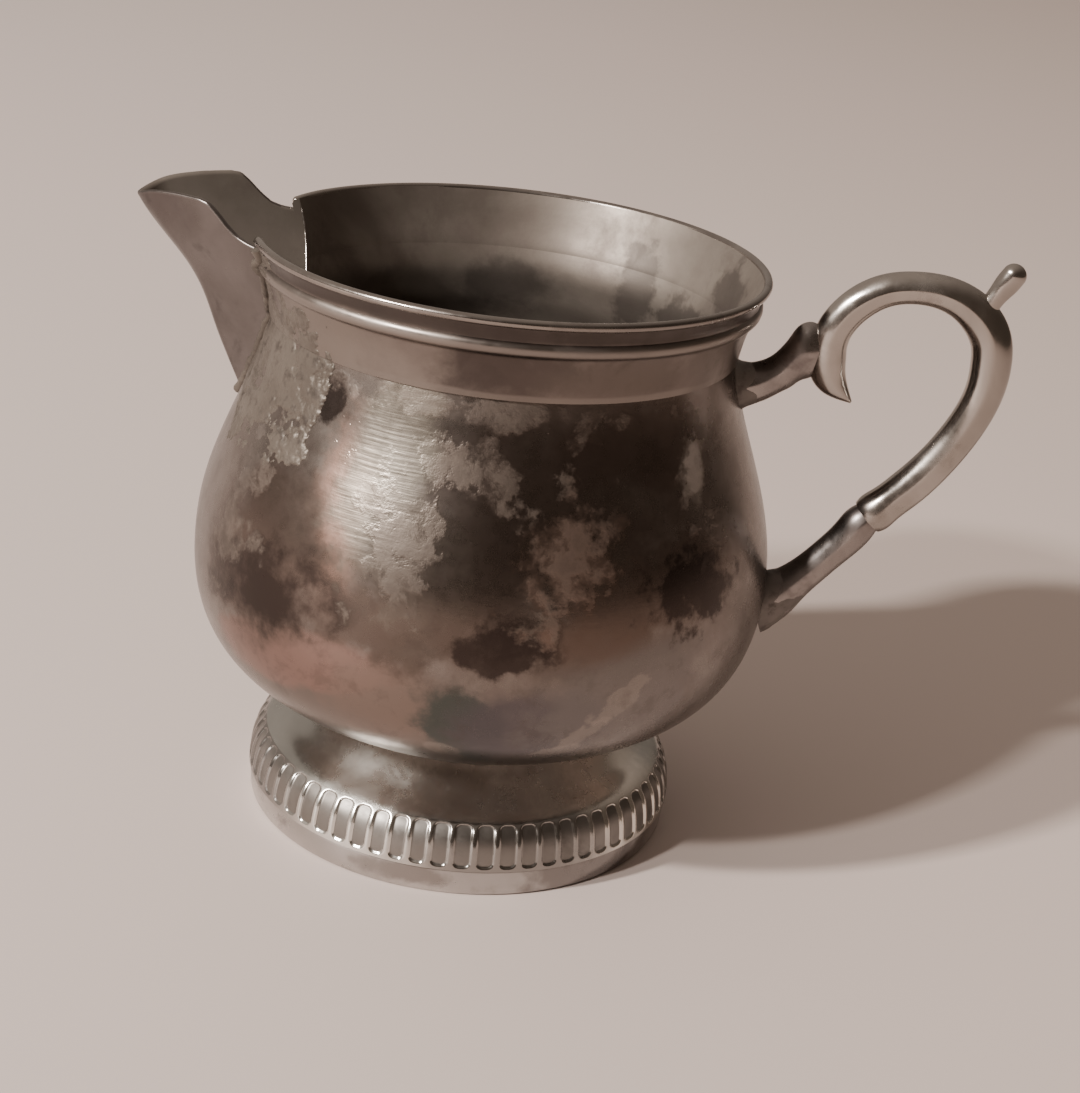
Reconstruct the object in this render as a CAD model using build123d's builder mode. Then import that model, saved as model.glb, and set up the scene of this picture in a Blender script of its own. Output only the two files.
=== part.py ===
from build123d import *
import os
from math import cos, hypot, radians, sin, sqrt

os.makedirs("parts", exist_ok=True)

# Small silver-plated cream jug. All lengths in millimetres.
# +Z is up, the jug stands on Z = 0, its axis is the Z axis.
# The spout points along -X and the handle along +X.

# ---------------------------------------------------------------- driving dimensions
sheet = 0.9               # thickness of the spun and stamped sheet

# bowl, outer surface as (radius, height)
belly_radius = 40.35
belly_height = 39.0
crease_height = 71.3      # where the collar's lower edge sits on the shoulder
shoulder_radius = 31.5
bowl_outline = [
    (0.0, 14.3),
    (11.0, 14.5),
    (20.5, 15.9),
    (27.0, 18.4),
    (31.6, 20.9),
    (37.1, 26.1),
    (39.8, 32.6),
    (belly_radius, belly_height),
    (39.65, 45.5),
    (37.9, 51.9),
    (35.5, 58.4),
    (33.2, 64.8),
    (shoulder_radius, crease_height),
]
flange_radius = 31.0      # outer radius of the bowl's neck flange
flange_height = 3.2

# collar, lip wire
collar_foot_radius = 31.9
collar_flare = [(32.15, 73.0), (32.6, 75.3), (33.25, 77.3)]
ridge_radius = 34.2
ridge_height = 78.4
ridge_top = (33.75, 79.4)
collar_top_radius = 34.5
collar_top_height = 81.5
lip_radius = 35.0
lip_wire_radius = 0.6
lip_height = 81.9         # height of the lip wire's centre
lip_gap_angle = 24.0      # half angle of the lip wire's gap at the spout

# spout, sections at heights: (height, keel reach, nose radius, side angle)
spout_sheet = 0.95
spout_sections = [
    (56.0, 35.2, 1.25, 24.0),
    (61.0, 37.6, 1.45, 24.0),
    (66.0, 39.9, 1.7, 24.0),
    (70.4, 41.7, 2.1, 27.0),
    (74.2, 43.9, 2.9, 30.0),
    (78.1, 47.2, 4.1, 30.0),
    (81.6, 50.2, 4.9, 28.0),
    (85.0, 52.5, 5.2, 27.0),
    (90.0, 55.9, 5.4, 27.0),
]
spout_back = 27.0
lip_line = [
    (56.0, 81.4),
    (51.6, 83.7),
    (49.1, 84.8),
    (46.4, 85.35),
    (43.6, 85.65),
    (41.2, 85.75),
]
lip_dip = [(39.9, 85.3), (38.3, 84.0), (36.7, 82.5), (35.0, 81.45), (33.3, 81.0), (26.0, 81.0)]

# foot
ring_radius = 30.4
ring_height = 3.9
ring_wall = 1.3
dome_wall = 1.1
dome_seat_radius = 29.65   # where the base band's inner lip fits
dome_outline = [
    (30.8, ring_height),
    (30.6, 6.4),
    (29.95, 8.6),
    (28.6, 10.3),
    (25.6, 12.0),
    (22.8, 13.9),
    (20.7, 16.4),
]
dome_flange_radius = 16.5
flute_count = 64
flute_cut_radius = 1.5
flute_ends = [(31.7, 5.7), (30.75, 9.05)]   # axis of each flute's cutter

# handle, all in the X-Z plane: (x, z, heading in degrees, half thickness, half width)
pin_radius = 1.1
pin_length = 5.0
upper_arm = [
    (30.0, 67.0, 10, 3.5, 2.7),
    (33.3, 67.7, 8, 3.05, 2.3),
    (35.4, 68.5, 15, 2.8, 2.05),
    (37.3, 69.8, 18, 2.7, 2.0),
    (38.9, 71.6, 12, 3.35, 2.05),
    (40.2, 73.2, 9, 3.9, 2.2),
    (41.8, 73.8, 5, 3.9, 2.1),
]
upper_pin_base = (39.5, 73.8, 8)
scroll = [
    (47.75, 67.2, 140, 0.25, 0.45),
    (46.6, 68.2, 138, 0.9, 1.15),
    (45.2, 69.7, 130, 1.75, 1.7),
    (44.1, 71.6, 115, 2.35, 2.05),
    (43.6, 74.1, 92, 2.5, 2.15),
    (43.95, 76.7, 72, 2.45, 2.15),
    (45.15, 79.1, 55, 2.4, 2.1),
    (47.2, 81.4, 41, 2.35, 2.1),
    (50.1, 83.2, 22, 2.25, 2.05),
    (53.6, 84.0, 6, 2.2, 2.05),
    (57.2, 83.9, -6, 2.3, 2.1),
    (60.3, 82.9, -24, 2.5, 2.2),
    (62.9, 81.0, -47, 2.7, 2.3),
    (64.7, 78.3, -66, 2.75, 2.35),
    (65.35, 75.0, -84, 2.75, 2.35),
    (65.2, 71.4, -96, 2.65, 2.3),
    (64.2, 67.6, -108, 2.6, 2.3),
    (62.4, 63.6, -119, 2.6, 2.3),
    (59.8, 59.3, -125, 2.65, 2.35),
    (56.9, 55.6, -131, 2.7, 2.4),
    (54.7, 53.2, -133, 2.75, 2.4),
    (52.7, 51.1, -134, 2.8, 2.45),
]
spur = [
    (63.3, 82.2, 60, 1.4, 1.2),
    (64.5, 84.6, 60, 1.45, 1.3),
    (65.3, 86.2, 60, 1.7, 1.45),
    (66.1, 87.5, 58, 1.75, 1.5),
]
spur_ball_radius = 1.62
lower_arm = [
    (52.7, 51.1, -134, 2.55, 2.2),
    (50.8, 48.3, -126, 2.6, 2.2),
    (48.3, 45.0, -129, 2.45, 2.1),
    (46.0, 42.2, -130, 2.5, 2.15),
    (43.4, 39.3, -137, 3.0, 2.35),
    (41.2, 37.2, -155, 3.9, 2.6),
    (38.4, 36.0, -165, 4.5, 2.8),
]
lower_pin_base = (50.9, 49.1, 45)
upper_fillet = [
    (30.0, 66.9, 10, 4.9, 4.0),
    (32.9, 67.6, 10, 3.75, 3.0),
    (34.6, 68.1, 12, 2.5, 1.9),
]
lower_fillet = [
    (43.9, 40.0, -140, 2.6, 1.9),
    (41.5, 37.6, -152, 4.0, 2.9),
    (38.8, 36.2, -165, 5.1, 3.8),
]

# solder run round the spout's seam
seam_radius = 0.75
seam_heights = [79.6, 77.2, 74.6, 72.0, 69.0, 65.5, 62.0, 59.2]


def inset(points, depth):
    """Outline points moved inward, square to the outline."""
    moved = []
    for i, (r, z) in enumerate(points):
        r0, z0 = points[max(i - 1, 0)]
        r1, z1 = points[min(i + 1, len(points) - 1)]
        length = hypot(r1 - r0, z1 - z0)
        moved.append((max(r - depth * (z1 - z0) / length, 0.0), z + depth * (r1 - r0) / length))
    return moved


def spout_solid(shrink, start):
    """Wedge with a rounded nose, wider and further out as it rises."""
    faces = []
    for height, reach, nose, angle in spout_sections[start:]:
        radius = nose - shrink
        centre = reach - nose
        side = radians(angle)
        half_back = (radius + (centre - spout_back) * sin(side)) / cos(side)
        tip = (-(centre + radius), 0)
        touch = (-(centre + radius * sin(side)), radius * cos(side))
        with BuildSketch(Plane.XY.offset(height)) as section:
            with BuildLine():
                Line((-spout_back, -half_back), (touch[0], -touch[1]))
                ThreePointArc((touch[0], -touch[1]), tip, touch)
                Line(touch, (-spout_back, half_back))
                Line((-spout_back, half_back), (-spout_back, -half_back))
            make_face()
        faces.append(section.sketch.faces()[0])
    return Solid.make_loft([f.outer_wire() for f in faces])


def rod(stations):
    """Solid through oval stations: (x, z, direction in degrees, half thickness, half width)."""
    wires = []
    for x, z, heading, thick, wide in stations:
        a = radians(heading)
        plane = Plane(origin=(x, 0, z), x_dir=(-sin(a), 0, cos(a)), z_dir=(cos(a), 0, sin(a)))
        with BuildSketch(plane) as oval:
            Ellipse(thick, wide)
        wires.append(oval.sketch.faces()[0].outer_wire())
    return Solid.make_loft(wires)


def reading(table, height, column):
    """Value of a table's column at a height, straight between its rows."""
    for low, high in zip(table, table[1:]):
        if height <= high[0]:
            share = (height - low[0]) / (high[0] - low[0])
            return low[column] + share * (high[column] - low[column])
    return table[-1][column]


def seam_point(height, side):
    """Where the spout's side meets the body, at a height."""
    wall = [(z, r) for r, z in bowl_outline + collar_flare + [(ridge_radius, ridge_height), (34.5, 85.0)]]
    body = reading(wall, height, 1)
    reach, nose, angle = (reading(spout_sections, height, k) for k in (1, 2, 3))
    centre = reach - nose
    across = 0.0
    for step in range(40):
        along = sqrt(body ** 2 - across ** 2)
        across = (nose + (centre - along) * sin(radians(angle))) / cos(radians(angle))
    return (-along, side * across, height)


def bead(points, radius):
    """Round bead along a chain of points."""
    wires = []
    for i, point in enumerate(points):
        before = Vector(points[max(i - 1, 0)])
        after = Vector(points[min(i + 1, len(points) - 1)])
        wires.append(Wire.make_circle(radius, Plane(origin=point, z_dir=after - before)))
    return Solid.make_loft(wires)


def pin(base):
    """Round peg from (x, z, heading)."""
    x, z, heading = base
    a = radians(heading)
    plane = Plane(origin=(x, 0, z), x_dir=(0, 1, 0), z_dir=(cos(a), 0, sin(a)))
    return Solid.make_cylinder(pin_radius, pin_length, plane)


# ---------------------------------------------------------------- shapes used for cutting
with BuildPart() as body_block:
    with BuildSketch(Plane.XZ):
        with BuildLine():
            Spline(*bowl_outline, tangents=((1, 0), (-0.2, 1)))
            Line((shoulder_radius, crease_height), (collar_foot_radius, crease_height))
            Spline((collar_foot_radius, crease_height), *collar_flare)
            ThreePointArc(collar_flare[-1], (ridge_radius, ridge_height), ridge_top)
            Line(ridge_top, (collar_top_radius, collar_top_height))
            Line((collar_top_radius, collar_top_height), (collar_top_radius, 95))
            Line((collar_top_radius, 95), (0, 95))
            Line((0, 95), bowl_outline[0])
        make_face()
    revolve(axis=Axis.Z)

with BuildPart() as spout_void:
    add(spout_solid(spout_sheet, 1))

# ---------------------------------------------------------------- bowl
with BuildPart() as bowl:
    with BuildSketch(Plane.XZ):
        inside = inset(bowl_outline, sheet)[:-1]
        flange_edge = (flange_radius - 0.3, crease_height + flange_height)
        with BuildLine():
            Spline(*bowl_outline, tangents=((1, 0), (-0.2, 1)))
            Line((shoulder_radius, crease_height), (flange_radius, crease_height))
            Line((flange_radius, crease_height), (flange_radius, crease_height + flange_height))
            Line((flange_radius, crease_height + flange_height), flange_edge)
            Line(flange_edge, (flange_radius - sheet, crease_height))
            Spline((flange_radius - sheet, crease_height), *reversed(inside), tangents=((0, -1), (-1, 0)))
            Line(inside[0], bowl_outline[0])
        make_face()
    revolve(axis=Axis.Z)
    add(spout_void.part, mode=Mode.SUBTRACT)
bowl.part.label = "bowl"
export_step(bowl.part, "parts/bowl.step")

# ---------------------------------------------------------------- lip wire
with BuildPart() as rim_wire:
    start = 180 + lip_gap_angle
    sweep_angle = 360 - 2 * lip_gap_angle
    wire_centre = lip_radius - lip_wire_radius
    with BuildSketch(Plane.XZ):
        with Locations((wire_centre, lip_height)):
            Circle(lip_wire_radius)
    revolve(axis=Axis.Z, revolution_arc=sweep_angle)
    for side in (0, sweep_angle):
        with Locations((wire_centre * cos(radians(side)), wire_centre * sin(radians(side)), lip_height)):
            Sphere(lip_wire_radius)
rim_wire.part = rim_wire.part.rotate(Axis.Z, start)
rim_wire.part.label = "rim_wire"
export_step(rim_wire.part, "parts/rim_wire.step")

# ---------------------------------------------------------------- collar
with BuildPart() as neck_collar:
    with BuildSketch(Plane.XZ):
        flange_top = (flange_radius, crease_height + flange_height)
        with BuildLine():
            Line((flange_radius, crease_height), (collar_foot_radius, crease_height))
            Spline((collar_foot_radius, crease_height), *collar_flare)
            ThreePointArc(collar_flare[-1], (ridge_radius, ridge_height), ridge_top)
            Line(ridge_top, (collar_top_radius, collar_top_height))
            Line((collar_top_radius, collar_top_height), (collar_top_radius - sheet, collar_top_height))
            Spline((collar_top_radius - sheet, collar_top_height), (32.95, 79.4), (32.3, 77.0), flange_top)
            Line(flange_top, (flange_radius, crease_height))
        make_face()
    revolve(axis=Axis.Z)
    add(spout_void.part, mode=Mode.SUBTRACT)
    add(rim_wire.part, mode=Mode.SUBTRACT)
neck_collar.part.label = "neck_collar"
export_step(neck_collar.part, "parts/neck_collar.step")

# ---------------------------------------------------------------- spout
with BuildPart() as spout:
    add(spout_solid(0, 0))
    add(spout_void.part, mode=Mode.SUBTRACT)
    with BuildSketch(Plane.XZ):
        edge = [(-x, z) for x, z in lip_line]
        dip = [(-x, z) for x, z in lip_dip]
        with BuildLine():
            Spline(*edge)
            Spline(edge[-1], *dip)
            Line(dip[-1], (dip[-1][0], 100))
            Line((dip[-1][0], 100), (edge[0][0], 100))
            Line((edge[0][0], 100), edge[0])
        make_face()
    extrude(amount=40, both=True, mode=Mode.SUBTRACT)
    add(body_block.part, mode=Mode.SUBTRACT)
    add(rim_wire.part, mode=Mode.SUBTRACT)
spout.part.label = "spout"
export_step(spout.part, "parts/spout.step")

# ---------------------------------------------------------------- solder round the spout
with BuildPart() as spout_solder:
    near = [seam_point(height, -1) for height in seam_heights]
    far = [seam_point(height, 1) for height in reversed(seam_heights)]
    add(bead([*near, (-36.1, 0, 57.2), *far], seam_radius))
    add(spout_solid(0, 0), mode=Mode.SUBTRACT)
    add(body_block.part, mode=Mode.SUBTRACT)
spout_solder.part.label = "spout_solder"
export_step(spout_solder.part, "parts/spout_solder.step")

# ---------------------------------------------------------------- foot
with BuildPart() as foot_dome:
    with BuildSketch(Plane.XZ):
        hollow = inset(dome_outline, dome_wall)[1:-1]
        with BuildLine():
            Spline(*dome_outline, tangents=((0, 1), (-0.3, 1)))
            Line(dome_outline[-1], (dome_flange_radius, 16.4))
            Line((dome_flange_radius, 16.4), (dome_flange_radius, 13.7))
            Line((dome_flange_radius, 13.7), (20.2, 13.7))
            Spline((20.2, 13.7), *reversed(hollow[:-1]), (dome_seat_radius, 5.2))
            Line((dome_seat_radius, 5.2), (dome_seat_radius, ring_height))
            Line((dome_seat_radius, ring_height), dome_outline[0])
        make_face()
    revolve(axis=Axis.Z)
    add(body_block.part, mode=Mode.SUBTRACT)
    (low_r, low_z), (high_r, high_z) = flute_ends
    lean = Plane(origin=(low_r, 0, low_z), x_dir=(0, 1, 0), z_dir=(high_r - low_r, 0, high_z - low_z))
    flute = Solid.make_cylinder(flute_cut_radius, hypot(high_r - low_r, high_z - low_z), lean)
    flute = flute.fuse(Solid.make_sphere(flute_cut_radius, Plane(origin=(low_r, 0, low_z)), -90, 90, 360))
    flute = flute.fuse(Solid.make_sphere(flute_cut_radius, Plane(origin=(high_r, 0, high_z)), -90, 90, 360))
    with PolarLocations(0, flute_count):
        add(flute, mode=Mode.SUBTRACT)
foot_dome.part.label = "foot_dome"
export_step(foot_dome.part, "parts/foot_dome.step")

with BuildPart() as foot_ring:
    with BuildSketch(Plane.XZ):
        with BuildLine():
            Polyline(
                (ring_radius - ring_wall - 0.3, 0),
                (ring_radius - 0.4, 0),
                (ring_radius, 0.5),
                (ring_radius + 0.1, ring_height),
                (dome_seat_radius, ring_height),
                (dome_seat_radius, ring_height + 1.1),
                (dome_seat_radius - 0.7, ring_height + 1.1),
                (ring_radius - ring_wall - 0.3, 0.8),
                (ring_radius - ring_wall - 0.3, 0),
            )
        make_face()
    revolve(axis=Axis.Z)
foot_ring.part.label = "foot_ring"
export_step(foot_ring.part, "parts/foot_ring.step")

with BuildPart() as foot_solder:
    with BuildSketch(Plane.XZ):
        with Locations((20.95, 15.85)):
            Circle(0.7)
    revolve(axis=Axis.Z)
    add(body_block.part, mode=Mode.SUBTRACT)
    add(foot_dome.part, mode=Mode.SUBTRACT)
foot_solder.part.label = "foot_solder"
export_step(foot_solder.part, "parts/foot_solder.step")

# ---------------------------------------------------------------- handle
with BuildPart() as handle_grip:
    add(rod(scroll))
    add(rod(spur))
    with Locations((spur[-1][0], 0, spur[-1][1])):
        Sphere(spur_ball_radius)
    scroll_block = handle_grip.part
    add(pin(upper_pin_base), mode=Mode.SUBTRACT)
    add(pin(lower_pin_base), mode=Mode.SUBTRACT)
handle_grip.part.label = "handle_grip"
export_step(handle_grip.part, "parts/handle_grip.step")

with BuildPart() as handle_upper_bracket:
    add(rod(upper_arm))
    add(body_block.part, mode=Mode.SUBTRACT)
    add(scroll_block, mode=Mode.SUBTRACT)
    add(pin(upper_pin_base))
handle_upper_bracket.part.label = "handle_upper_bracket"
export_step(handle_upper_bracket.part, "parts/handle_upper_bracket.step")

with BuildPart() as handle_lower_bracket:
    add(rod(lower_arm))
    add(body_block.part, mode=Mode.SUBTRACT)
    add(pin(lower_pin_base))
handle_lower_bracket.part.label = "handle_lower_bracket"
export_step(handle_lower_bracket.part, "parts/handle_lower_bracket.step")

with BuildPart() as handle_upper_solder:
    add(rod(upper_fillet))
    add(body_block.part, mode=Mode.SUBTRACT)
    add(handle_upper_bracket.part, mode=Mode.SUBTRACT)
handle_upper_solder.part.label = "handle_upper_solder"
export_step(handle_upper_solder.part, "parts/handle_upper_solder.step")

with BuildPart() as handle_lower_solder:
    add(rod(lower_fillet))
    add(body_block.part, mode=Mode.SUBTRACT)
    add(handle_lower_bracket.part, mode=Mode.SUBTRACT)
handle_lower_solder.part.label = "handle_lower_solder"
export_step(handle_lower_solder.part, "parts/handle_lower_solder.step")
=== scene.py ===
import math

import bmesh
import bpy
import numpy as np
from mathutils import Matrix, Vector, noise


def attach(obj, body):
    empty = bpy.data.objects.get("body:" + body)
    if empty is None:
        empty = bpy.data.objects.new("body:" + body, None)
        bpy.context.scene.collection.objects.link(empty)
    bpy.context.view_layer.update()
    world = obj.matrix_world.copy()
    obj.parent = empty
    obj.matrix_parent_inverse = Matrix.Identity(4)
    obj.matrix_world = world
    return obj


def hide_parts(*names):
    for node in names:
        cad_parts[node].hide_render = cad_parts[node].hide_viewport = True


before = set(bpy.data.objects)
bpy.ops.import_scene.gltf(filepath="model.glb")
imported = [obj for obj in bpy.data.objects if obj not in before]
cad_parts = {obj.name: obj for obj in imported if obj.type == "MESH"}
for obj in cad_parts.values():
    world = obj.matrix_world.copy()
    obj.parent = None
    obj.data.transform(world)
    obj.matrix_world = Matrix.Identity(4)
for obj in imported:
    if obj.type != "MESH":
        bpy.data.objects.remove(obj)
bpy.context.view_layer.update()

MM = 0.001

# ------------------------------------------------------------------ dimensions, millimetres
SHEET = 0.9
CREASE = 71.3
BOWL = [(0.0, 14.3), (11.0, 14.5), (20.5, 15.9), (27.0, 18.4), (31.6, 20.9), (37.1, 26.1), (39.8, 32.6),
        (40.32, 39.0), (39.65, 45.5), (37.9, 51.9), (35.5, 58.4), (33.2, 64.8), (31.5, CREASE)]
FLANGE = 31.0
COLLAR = [(31.9, CREASE), (32.15, 73.0), (32.6, 75.3), (33.25, 77.3)]
RIDGE = (34.2, 78.4)
RIDGE_TOP = (33.75, 79.4)
COLLAR_TOP = (34.5, 81.5)
LIP_RADIUS, LIP_WIRE, LIP_HEIGHT = 35.0, 0.6, 81.9
SPOUT_SHEET = 0.95
SPOUT_KEEL = 58.2
DEEPEST = 26.0  # the spout's section isn't followed further in than this
CUT_CLEARANCE = 0.02
SPOUT = np.array([
    (56.0, 35.2, 1.25, 24.0), (61.0, 37.6, 1.45, 24.0), (66.0, 39.9, 1.7, 24.0), (70.4, 41.7, 2.1, 27.0),
    (74.2, 43.9, 2.9, 30.0), (78.1, 47.2, 4.1, 30.0), (81.6, 50.2, 4.9, 28.0), (85.0, 52.5, 5.2, 27.0),
    (90.0, 55.9, 5.4, 27.0)])
LIP_LINE = [(56.0, 81.4), (51.6, 83.7), (49.1, 84.8), (46.4, 85.35), (43.6, 85.65), (41.2, 85.75)]
LIP_DIP = [(41.2, 85.75), (39.9, 85.3), (38.3, 84.0), (36.7, 82.5), (35.0, 81.45), (33.3, 81.0), (26.0, 81.0)]
FLUTES = 64


# ------------------------------------------------------------------ curves and meshes
def spline(points, at=None, count=0, t=None, start=None, end=None):
    """Cubic spline through points, at given parameters or evenly along its length."""
    p = np.array(points, float)
    if t is None:
        t = np.r_[0, np.cumsum(np.linalg.norm(np.diff(p, axis=0), axis=1))]
    if at is None:
        at = np.linspace(t[0], t[-1], count)
    h = np.diff(t)
    n = len(p)
    a = np.zeros((n, n))
    b = np.zeros_like(p)
    for i in range(1, n - 1):
        a[i, i - 1], a[i, i], a[i, i + 1] = h[i - 1], 2 * (h[i - 1] + h[i]), h[i]
        b[i] = 6 * ((p[i + 1] - p[i]) / h[i] - (p[i] - p[i - 1]) / h[i - 1])
    a[0, 0] = a[-1, -1] = 1
    if start is not None:
        a[0, 0], a[0, 1] = 2 * h[0], h[0]
        b[0] = 6 * ((p[1] - p[0]) / h[0] - np.array(start, float))
    if end is not None:
        a[-1, -1], a[-1, -2] = 2 * h[-1], h[-1]
        b[-1] = 6 * (np.array(end, float) - (p[-1] - p[-2]) / h[-1])
    m = np.linalg.solve(a, b)
    at = np.asarray(at, float)
    k = np.clip(np.searchsorted(t, at, side="right") - 1, 0, n - 2)
    d, w = (at - t[k])[..., None], h[k][..., None]
    e = w - d
    return (m[k] * e ** 3 + m[k + 1] * d ** 3) / (6 * w) + (p[k] / w - m[k] * w / 6) * e \
        + (p[k + 1] / w - m[k + 1] * w / 6) * d


def make(name, verts, faces, smooth=40.0):
    """Mesh object from millimetre points."""
    mesh = bpy.data.meshes.new(name)
    mesh.from_pydata((np.asarray(verts) * MM).tolist(), [], [tuple(f) for f in faces])
    mesh.validate()
    obj = bpy.data.objects.new(name, mesh)
    bpy.context.scene.collection.objects.link(obj)
    finish_mesh(obj, smooth)
    return obj


def finish_mesh(obj, smooth):
    """Merges doubles, turns faces outward and sets smooth shading with sharp edges by angle."""
    bm = bmesh.new()
    bm.from_mesh(obj.data)
    bmesh.ops.remove_doubles(bm, verts=bm.verts, dist=2e-6)
    bmesh.ops.dissolve_degenerate(bm, dist=1e-7, edges=bm.edges)
    bmesh.ops.recalc_face_normals(bm, faces=bm.faces)
    bm.to_mesh(obj.data)
    bm.free()
    obj.data.polygons.foreach_set("use_smooth", [True] * len(obj.data.polygons))
    obj.data.set_sharp_from_angle(angle=math.radians(smooth))
    obj.data.update()


def grid_faces(rows, cols, wrap_rows=False, wrap_cols=False):
    faces = []
    for i in range(rows if wrap_rows else rows - 1):
        for j in range(cols if wrap_cols else cols - 1):
            a, b = i * cols + j, i * cols + (j + 1) % cols
            c, d = ((i + 1) % rows) * cols + (j + 1) % cols, ((i + 1) % rows) * cols + j
            faces.append((a, b, c, d))
    return faces


def tube_faces(rows, around):
    """Faces of a tube with closed ends: rows of points, each row once round it."""
    last = (rows - 1) * around
    ends = [tuple(range(around)), tuple(last + j for j in range(around))]
    return grid_faces(rows, around, False, True) + ends


def lathe(name, outline, turns=288, shift=None, smooth=40.0):
    """Turned solid from a closed outline of (radius, height); shift moves each point out or in."""
    r, z = np.array(outline).T
    az = np.linspace(-math.pi, math.pi, turns, endpoint=False)
    radius = np.repeat(r[None], turns, 0)
    height = np.repeat(z[None], turns, 0)
    if shift is not None:
        radius = radius + shift(az[:, None], radius, height)
    x, y = radius * np.cos(az)[:, None], radius * np.sin(az)[:, None]
    pts = np.stack([x, y, height], -1).reshape(-1, 3)
    return make(name, pts, grid_faces(turns, len(r), True, True), smooth)


def cut(obj, cutter, smooth=40.0):
    """Takes cutter away from obj."""
    mod = obj.modifiers.new("cut", "BOOLEAN")
    mod.operation, mod.solver, mod.object = "DIFFERENCE", "EXACT", cutter
    graph = bpy.context.evaluated_depsgraph_get()
    mesh = bpy.data.meshes.new_from_object(obj.evaluated_get(graph))
    obj.modifiers.clear()
    old, obj.data = obj.data, mesh
    bpy.data.meshes.remove(old)
    finish_mesh(obj, smooth)


def inset(points, depth):
    """Outline moved sideways by depth, never across the axis."""
    p = np.array(points)
    d = np.gradient(p, axis=0)
    d /= np.linalg.norm(d, axis=1)[:, None]
    q = p + depth * np.stack([-d[:, 1], d[:, 0]], -1)
    q[:, 0] = np.maximum(q[:, 0], 0)
    return q


def rough(points, scale, octaves=4, seed=0.0):
    """Fractal noise, about -1 to 1, at millimetre points."""
    start = Vector((seed, seed * 0.7, -seed))
    return np.array([noise.fractal(Vector(p) * scale + start, 1.0, 2.0, octaves)
                     for p in np.asarray(points).reshape(-1, 3)])


def place(obj, node):
    """Puts a piece on the jug's one body, in place of a CAD node."""
    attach(obj, "root")
    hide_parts(node)
    return obj


# ------------------------------------------------------------------ spout surface
def wedge(z):
    """Keel reach, nose radius and side angle of the spout at heights z."""
    out = spline(SPOUT[:, 1:], at=np.clip(z, 56.0, 90.0), t=SPOUT[:, 0])
    return out[..., 0], out[..., 1], np.radians(out[..., 2])


def half_outline(z, d, shrink=0.0):
    """Point and outward normal on the spout's half section at height z, a distance d from its keel."""
    reach, nose, side = wedge(z)
    centre, radius = reach - nose, nose - shrink
    arc = nose * (math.pi / 2 - side)
    turn = np.minimum(d, arc) / nose
    past = np.maximum(d - arc, 0)
    u = centre + radius * np.cos(turn) - past * np.cos(side)
    v = radius * np.sin(turn) + past * np.sin(side)
    return u, v, np.cos(turn), np.sin(turn)


BODY = np.array(BOWL[4:] + COLLAR + [RIDGE, RIDGE_TOP, COLLAR_TOP, (34.6, 95.0)])


def body_radius(z):
    """Outer radius of the bowl and the collar at height z."""
    return np.interp(z, BODY[:, 1], BODY[:, 0])


def bisect(f, low, high, steps=40):
    """Where f turns from negative to positive, between low and high, one value per entry."""
    for _ in range(steps):
        mid = (low + high) / 2
        below = f(mid) < 0
        low, high = np.where(below, mid, low), np.where(below, high, mid)
    return (low + high) / 2


def contact(z):
    """Distance along the half section at which the spout's side meets the body."""
    def inside(d):
        u, v, _, _ = half_outline(z, d)
        return body_radius(z) - np.hypot(u, v)
    z = np.asarray(z, float)
    return bisect(inside, np.zeros_like(z), np.full_like(z, DEEPEST))


lip_top = np.vstack([spline(LIP_LINE, count=60), spline(LIP_DIP, count=80)[1:]])[::-1]


def lip_height(u):
    """Height of the spout's edge at a distance u from the axis."""
    return np.interp(u, lip_top[:, 0], lip_top[:, 1])


def spout_mesh():
    """Bent sheet with a rounded lip."""
    across, up, bead = 141, 90, 7
    s = np.linspace(-1, 1, across)
    s = np.sign(s) * np.abs(s) ** 1.15
    def over(z):
        u, _, _, _ = half_outline(z, np.abs(s) * contact(z))
        return z - lip_height(u)
    top = bisect(over, np.full(across, 76.0), np.full(across, 89.0)) - SPOUT_SHEET / 2
    low = 57.55
    w = 1 - (1 - np.linspace(0, 1, up)) ** 1.3
    rows = []
    for k in w:
        z = low + k * (top - low)
        u, v, nu, nv = half_outline(z, np.abs(s) * contact(z) * 1.01)
        rows.append((u, v * np.sign(s), z, nu, nv * np.sign(s)))
    outer = [np.stack([-u, v, z], -1) for u, v, z, _, _ in rows]
    normal = [np.stack([-nu, nv, np.zeros(across)], -1) for _, _, _, nu, nv in rows]
    rise = outer[-1] - outer[-2]
    rise /= np.linalg.norm(rise, axis=1)[:, None]
    middle = outer[-1] - normal[-1] * SPOUT_SHEET / 2
    lip = [middle + SPOUT_SHEET / 2 * (math.cos(a) * normal[-1] + math.sin(a) * rise)
           for a in np.linspace(0, math.pi, bead + 2)[1:-1]]
    inner = [p - n * SPOUT_SHEET for p, n in zip(outer, normal)][::-1]
    grid = np.concatenate([np.stack(outer), np.stack(lip), np.stack(inner)])
    n = len(grid)
    pts = grid.reshape(-1, 3)
    faces = grid_faces(n, across)
    for edge in (0, across - 1):
        for i in range((n - bead) // 2 - 1):
            a, b = i, n - 1 - i
            corners = (a, a + 1, b - 1, b)
            faces.append(tuple(row * across + edge for row in corners))
    return make("spout_sheet", pts, faces, 50.0)


def void_mesh():
    """The room inside the spout, which is cut out of the bowl and the collar."""
    d = np.linspace(-1, 1, 61)
    levels = np.linspace(59.5, 88.0, 60)
    rows = []
    for z in levels:
        zz = np.full(len(d), z)
        reach, nose, side = wedge(zz)
        far = (reach - DEEPEST) / np.cos(side)
        u, v, _, _ = half_outline(zz, np.abs(d) * far, SPOUT_SHEET + CUT_CLEARANCE)
        rows.append(np.stack([-u, v * np.sign(d), zz], -1))
    return make("void", np.concatenate(rows), tube_faces(len(rows), len(d)))


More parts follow.
